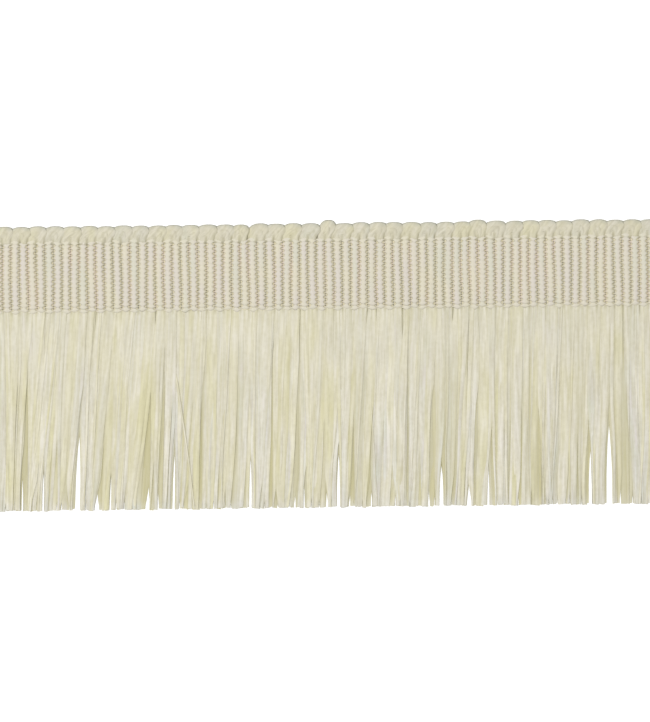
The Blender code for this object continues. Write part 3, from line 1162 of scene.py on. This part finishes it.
def new_group(name, inputs, outputs):
    """A node group. Its sockets are given by name and type."""
    group = bpy.data.node_groups.new(name, "ShaderNodeTree")
    for side, sockets in (("INPUT", inputs), ("OUTPUT", outputs)):
        for label, kind in sockets:
            group.interface.new_socket(name=label, in_out=side, socket_type=kind)
    return group, group.nodes.new("NodeGroupInput"), group.nodes.new("NodeGroupOutput")


def add_node(tree, kind, inputs, **settings):
    """Adds a node. Each of its inputs, by name or number, is given a value or the socket that feeds it."""
    node = tree.nodes.new(kind)
    for name, value in settings.items():
        setattr(node, name, value)
    for label, value in inputs.items():
        if isinstance(value, bpy.types.NodeSocket):
            tree.links.new(value, node.inputs[label])
        else:
            node.inputs[label].default_value = value
    return node


def stretched_noise(tree, place, noise):
    """Noise whose grains are stretched by a different amount along each direction."""
    stretch = add_node(tree, "ShaderNodeVectorMath", {0: place, 1: noise.grains}, operation="MULTIPLY")
    inputs = {"Vector": stretch.outputs[0], "Scale": 1.0, "Detail": noise.detail}
    inputs["Roughness"] = NOISE_ROUGHNESS
    return add_node(tree, "ShaderNodeTexNoise", inputs).outputs["Fac"]


def stretch_range(tree, value, low, high):
    """0 at the low value and below, 1 at the high one and above."""
    inputs = {"Value": value, "From Min": low, "From Max": high}
    return add_node(tree, "ShaderNodeMapRange", inputs).outputs["Result"]


def fade_out(tree, value, full, none):
    """1 at one value, falling smoothly to 0 at the other."""
    inputs = {"Value": value, "From Min": full, "From Max": none, "To Min": 1.0, "To Max": 0.0}
    ranged = add_node(tree, "ShaderNodeMapRange", inputs, interpolation_type="SMOOTHSTEP")
    return ranged.outputs["Result"]


def calculate(tree, operation, *values):
    """The result of a Math node. Each value is a number or a socket."""
    return add_node(tree, "ShaderNodeMath", dict(enumerate(values)), operation=operation).outputs["Value"]


def noise_mask(tree, place, noise):
    return stretch_range(tree, stretched_noise(tree, place, noise), noise.low, noise.high)


def weighted_sum(tree, first, second, share):
    """Mixes two values. The share is that of the second one."""
    inputs = {"Factor": share, 2: first, 3: second}
    return add_node(tree, "ShaderNodeMix", inputs, data_type="FLOAT").outputs[0]


def blend_colours(tree, factor, first, second):
    """Mixes two colours, each a fixed colour or a socket."""
    inputs = {"Factor": factor}
    for number, colour in ((6, first), (7, second)):
        inputs[number] = (*colour, 1.0) if isinstance(colour, tuple) else colour
    return add_node(tree, "ShaderNodeMix", inputs, data_type="RGBA").outputs[2]


def fibre_grain_group():
    """Long raffia fibres: broad streaks, fine lines and slow patches, from a place in millimetres."""
    patterns = {"Streaks": STREAKS, "Lines": LINES, "Patches": PATCHES}
    group, source, result = new_group(
        "raffia_fibres",
        [("Place", "NodeSocketVector")],
        [(label, "NodeSocketFloat") for label in patterns],
    )
    for label, noise in patterns.items():
        group.links.new(noise_mask(group, source.outputs["Place"], noise), result.inputs[label])
    return group


# Painted shade in the valleys between the ribs: from which share of a wave's height up, and the
# places at which that is full and at which it has faded out, above and below the heading.
VALLEY_HEIGHT = (0.1, 1.0)
VALLEY_FADE_ABOVE = (HEADING_TOP - 0.2 * MM, HEADING_TOP + 1.3 * MM)
VALLEY_FADE_BELOW = (HEADING_FOOT + 0.2 * MM, HEADING_FOOT - 1.6 * MM)


def rib_valley_group():
    """The painted shade in the valleys between the ribs, close above and below the heading."""
    group, source, result = new_group(
        "rib_valleys", [("Place", "NodeSocketVector")], [("Valley", "NodeSocketFloat")]
    )
    parts = add_node(group, "ShaderNodeSeparateXYZ", {"Vector": source.outputs["Place"]})
    turned = calculate(group, "MULTIPLY", parts.outputs["X"], 2 * math.pi / RIB_PITCH)
    valley = stretch_range(group, calculate(group, "COSINE", turned), *VALLEY_HEIGHT)
    above = fade_out(group, parts.outputs["Y"], *VALLEY_FADE_ABOVE)
    below = fade_out(group, parts.outputs["Y"], *VALLEY_FADE_BELOW)
    near = calculate(group, "MULTIPLY", above, below)
    rough = stretched_noise(group, source.outputs["Place"], ROOT_MOTTLE)
    share = calculate(group, "MULTIPLY", calculate(group, "MULTIPLY", valley, near), rough)
    group.links.new(share, result.inputs["Valley"])
    return group


def principled(name, roughness, specular):
    material = bpy.data.materials.new(name)
    material.use_nodes = True
    shader = material.node_tree.nodes["Principled BSDF"]
    shader.inputs["Roughness"].default_value = roughness
    shader.inputs["Specular IOR Level"].default_value = specular
    return material, shader


def add_bump(tree, height, shader, strength, distance):
    bump = add_node(tree, "ShaderNodeBump", {"Strength": strength, "Distance": distance, "Height": height})
    tree.links.new(bump.outputs["Normal"], shader.inputs["Normal"])


# The tints of raffia. The greyest tapes are lilac to mint, most are pale, and some are yellow. The
# shade colour lies in the lines along the fibres and is also painted as shade in the valleys between
# the ribs. The edge tint is painted shade along the edges, on deep tapes and at the loops' rims.
RaffiaTint = namedtuple("RaffiaTint", "pale lilac mint yellow shade edge")
UPPER_TINT = RaffiaTint(
    pale=(0.650, 0.620, 0.531),
    lilac=(0.576, 0.546, 0.504),
    mint=(0.544, 0.556, 0.482),
    yellow=(0.590, 0.560, 0.365),
    shade=(0.358, 0.328, 0.200),
    edge=(0.470, 0.436, 0.258),
)
# A darker, yellower copy for the undermost tapes: painted shade where they lie beneath the others.
UNDER_SHADE_TINT = RaffiaTint(
    pale=(0.555, 0.525, 0.390),
    lilac=(0.545, 0.518, 0.425),
    mint=(0.530, 0.522, 0.405),
    yellow=(0.535, 0.500, 0.305),
    shade=(0.420, 0.388, 0.220),
    edge=(0.425, 0.392, 0.215),
)
LOOP_TINT = RaffiaTint(
    pale=(0.560, 0.526, 0.420),
    lilac=(0.530, 0.500, 0.425),
    mint=(0.505, 0.510, 0.400),
    yellow=(0.550, 0.518, 0.355),
    shade=(0.340, 0.312, 0.195),
    edge=(0.415, 0.420, 0.350),
)
RIB_TINT = RaffiaTint(
    pale=(0.580, 0.535, 0.395),
    lilac=(0.570, 0.525, 0.405),
    mint=(0.560, 0.525, 0.395),
    yellow=(0.560, 0.510, 0.335),
    shade=(0.470, 0.425, 0.275),
    edge=(0.470, 0.425, 0.275),
)

# How much each pattern weighs in a tape's tint and in its lines.
PATCH_WEIGHT = 0.30
FIELD_WEIGHT = 0.36
LINE_WEIGHT = 0.20
MOTTLE_WEIGHT = 0.24
SLOW_WEIGHT = 0.07

# Over which values one tint turns into the next.
GREY_TO_PALE = (0.15, 0.52)
PALE_TO_YELLOW = (0.50, 0.88)
SHADE_TO_PLAIN = (-0.40, 0.72)
TWIST_TO_CREST = (-0.9, 0.7)


def read_share(tree, name):
    return add_node(tree, "ShaderNodeAttribute", {}, attribute_name=name).outputs["Fac"]


def place_on_piece(tree):
    return add_node(tree, "ShaderNodeTexCoord", {}).outputs["Object"]


def place_on_fibre(tree):
    return add_node(tree, "ShaderNodeUVMap", {}, uv_map="fibre").outputs["UV"]


def raffia_material(name, fibres, valleys, tint):
    """Split palm leaf: cream to straw from tape to tape, with darker lines along the fibres."""
    material, shader = principled(name, roughness=0.62, specular=0.28)
    tree = material.node_tree
    place = place_on_piece(tree)
    grain = add_node(tree, "ShaderNodeGroup", {"Place": place_on_fibre(tree)}, node_tree=fibres)
    own_tone = weighted_sum(tree, read_share(tree, "tone"), grain.outputs["Patches"], PATCH_WEIGHT)
    drift = weighted_sum(tree, own_tone, noise_mask(tree, place, FIELDS), FIELD_WEIGHT)
    grey = blend_colours(tree, grain.outputs["Patches"], tint.lilac, tint.mint)
    greyed = blend_colours(tree, stretch_range(tree, drift, *GREY_TO_PALE), grey, tint.pale)
    straw = blend_colours(tree, stretch_range(tree, drift, *PALE_TO_YELLOW), greyed, tint.yellow)
    lined = weighted_sum(tree, grain.outputs["Streaks"], grain.outputs["Lines"], LINE_WEIGHT)
    lined = weighted_sum(tree, lined, noise_mask(tree, place, MOTTLE), MOTTLE_WEIGHT)
    lined = weighted_sum(tree, lined, noise_mask(tree, place, SLOW_MOTTLE), SLOW_WEIGHT)
    shaded = blend_colours(tree, stretch_range(tree, lined, *SHADE_TO_PLAIN), tint.shade, straw)
    # Painted shade along the tapes' edges, on deep tapes and at the loops' rims.
    edge_shaded = blend_colours(tree, read_share(tree, "edge"), shaded, tint.edge)
    # Painted shade in the valleys between the ribs, close to the heading.
    between = add_node(tree, "ShaderNodeGroup", {"Place": place}, node_tree=valleys)
    valley_shaded = blend_colours(tree, between.outputs["Valley"], edge_shaded, tint.shade)
    tree.links.new(valley_shaded, shader.inputs["Base Color"])
    add_bump(tree, lined, shader, strength=0.45, distance=0.04 * MM)
    return material


CREST_GREY = (0.580, 0.540, 0.484)
CREST_CREAM = (0.602, 0.564, 0.448)
CREST_MINT = (0.563, 0.549, 0.458)
# Painted shade where the threads dip into the valleys between the ribs.
VALLEY_SHADE_OLIVE = (0.500, 0.468, 0.335)
VALLEY_SHADE_BROWN = (0.595, 0.492, 0.395)
TWIST_SHADE = (0.505, 0.462, 0.358)
RAFFIA_BENEATH = (0.590, 0.562, 0.440)
TWIST_SLANT = 55


def yarn_material(fibres):
    """Soft spun thread, cream to greyish from rib to rib, with painted olive or brownish shade in the
    valleys.
    """
    material, shader = principled("binding_yarn", roughness=0.85, specular=0.15)
    tree = material.node_tree
    place = place_on_piece(tree)
    slant = {"Vector": place_on_fibre(tree), "Angle": math.radians(TWIST_SLANT)}
    slanted = add_node(tree, "ShaderNodeVectorRotate", slant, rotation_type="Z_AXIS")
    twist = add_node(tree, "ShaderNodeGroup", {"Place": slanted.outputs["Vector"]}, node_tree=fibres)
    crest = blend_colours(tree, noise_mask(tree, place, CREAM_COLUMNS), CREST_GREY, CREST_CREAM)
    crest = blend_colours(tree, noise_mask(tree, place, MINT_COLUMNS), crest, CREST_MINT)
    twist_share = stretch_range(tree, twist.outputs["Lines"], *TWIST_TO_CREST)
    twisted = blend_colours(tree, twist_share, TWIST_SHADE, crest)
    valley = blend_colours(tree, noise_mask(tree, place, BROWN_COLUMNS), VALLEY_SHADE_OLIVE, VALLEY_SHADE_BROWN)
    # The edge share paints the valley shade where the thread dips.
    hue = blend_colours(tree, read_share(tree, "edge"), twisted, valley)
    hue = blend_colours(tree, read_share(tree, "tone"), hue, RAFFIA_BENEATH)
    tree.links.new(hue, shader.inputs["Base Color"])
    add_bump(tree, twist.outputs["Lines"], shader, strength=0.4, distance=0.03 * MM)
    return material


FLOOR_CREAM = (0.955, 0.955, 0.95)
FLOOR_WHITE = (0.965, 0.965, 0.965)


def floor_material():
    """Plain white studio floor with the faintest mottle."""
    material, shader = principled("studio_floor", roughness=0.9, specular=0.0)
    tree = material.node_tree
    mottle = stretched_noise(tree, place_on_piece(tree), FLOOR_MOTTLE)
    tree.links.new(blend_colours(tree, mottle, FLOOR_CREAM, FLOOR_WHITE), shader.inputs["Base Color"])
    return material


def set_material(piece, material):
    piece.data.materials.clear()
    piece.data.materials.append(material)


# The studio.

AreaLamp = namedtuple("AreaLamp", "name place size power")
LAMPS = (
    AreaLamp("overhead_lamp", (-0.14, 0.11, 1.30), 0.45, 15.7),
    AreaLamp("side_lamp", (-1.10, 0.50, 0.75), 0.6, 2.8),
)
SKY_STRENGTH = 0.34
FLOOR_SIZE = 6.0


def set_studio():
    clear_selection()
    bpy.ops.mesh.primitive_plane_add(size=FLOOR_SIZE, location=(0.0, 0.0, 0.0))
    floor = bpy.context.object
    floor.name = "studio_floor"
    set_material(floor, floor_material())
    for lamp in LAMPS:
        data = bpy.data.lights.new(lamp.name, "AREA")
        data.size = lamp.size
        data.energy = lamp.power
        thing = bpy.data.objects.new(lamp.name, data)
        thing.location = lamp.place
        thing.rotation_euler = (-Vector(lamp.place)).to_track_quat("-Z", "Y").to_euler()
        bpy.context.scene.collection.objects.link(thing)
    sky = bpy.data.worlds.new("soft_sky")
    sky.use_nodes = True
    background = sky.node_tree.nodes["Background"]
    background.inputs["Color"].default_value = (1.0, 1.0, 1.0, 1.0)
    background.inputs["Strength"].default_value = SKY_STRENGTH
    bpy.context.scene.world = sky
    bpy.context.scene.view_settings.view_transform = "Standard"


def main():
    fibres = fibre_grain_group()
    valleys = rib_valley_group()
    upper = raffia_material("raffia_upper", fibres, valleys, UPPER_TINT)
    under = raffia_material("raffia_under", fibres, valleys, UNDER_SHADE_TINT)
    looped = raffia_material("raffia_loops", fibres, valleys, LOOP_TINT)
    ribbing = raffia_material("raffia_ribs", fibres, valleys, RIB_TINT)
    yarn = yarn_material(fibres)

    ribs = lay_ribs()
    threads = weave_threads()
    loops = turn_loops()
    layers = lay_skirt()

    set_material(ribs, ribbing)
    set_material(loops, looped)
    for piece in threads:
        set_material(piece, yarn)
    for piece in layers:
        set_material(piece, under if piece.name == "under_tapes" else upper)
    for piece in (ribs, loops, *threads, *layers):
        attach(piece, "root")

    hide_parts("heading_band")
    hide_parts("loop_edge")
    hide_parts("skirt")
    set_studio()


main()
